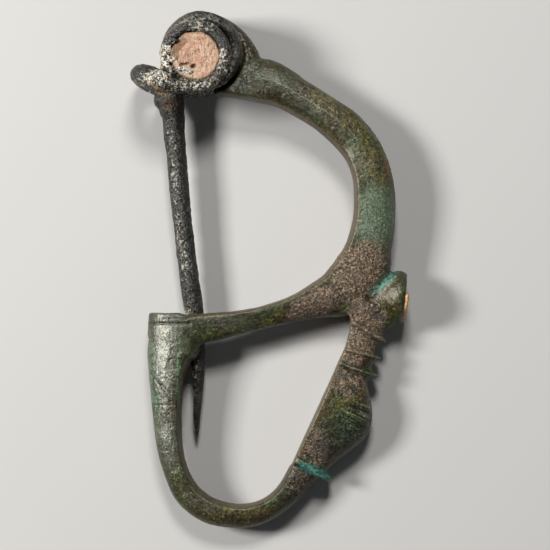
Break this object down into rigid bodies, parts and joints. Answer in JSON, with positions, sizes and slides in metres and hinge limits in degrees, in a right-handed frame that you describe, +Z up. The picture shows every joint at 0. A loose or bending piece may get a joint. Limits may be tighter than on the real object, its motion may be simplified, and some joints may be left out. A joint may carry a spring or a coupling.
{
  "type": "fibula brooch",
  "caption": "Bronze safety-pin brooch with an arched bow, coiled spring and pin, gutter catch and a foot bent back to a knob, inlaid with coral",
  "frame": {"origin": "middle of the brooch's outline, on the surface it lies on", "axes": "+Z up from the surface, +Y along the brooch towards the spring, +X towards the knob"},
  "size_m": [0.0348, 0.0644, 0.0122],
  "materials": {
    "bronze": "cast bronze with an olive and grey-green patina, brown earthy crust and rubbed shoulders",
    "wire": "drawn bronze wire, corroded rough and grey-black",
    "coral": "faded porous salmon coral"
  },
  "bodies": {
    "root": {"bow_and_foot": "bronze", "spring_and_pin": "wire", "near_spring_coral": "coral", "far_spring_coral": "coral", "knob_coral": "coral"}
  },
  "joints": []
}
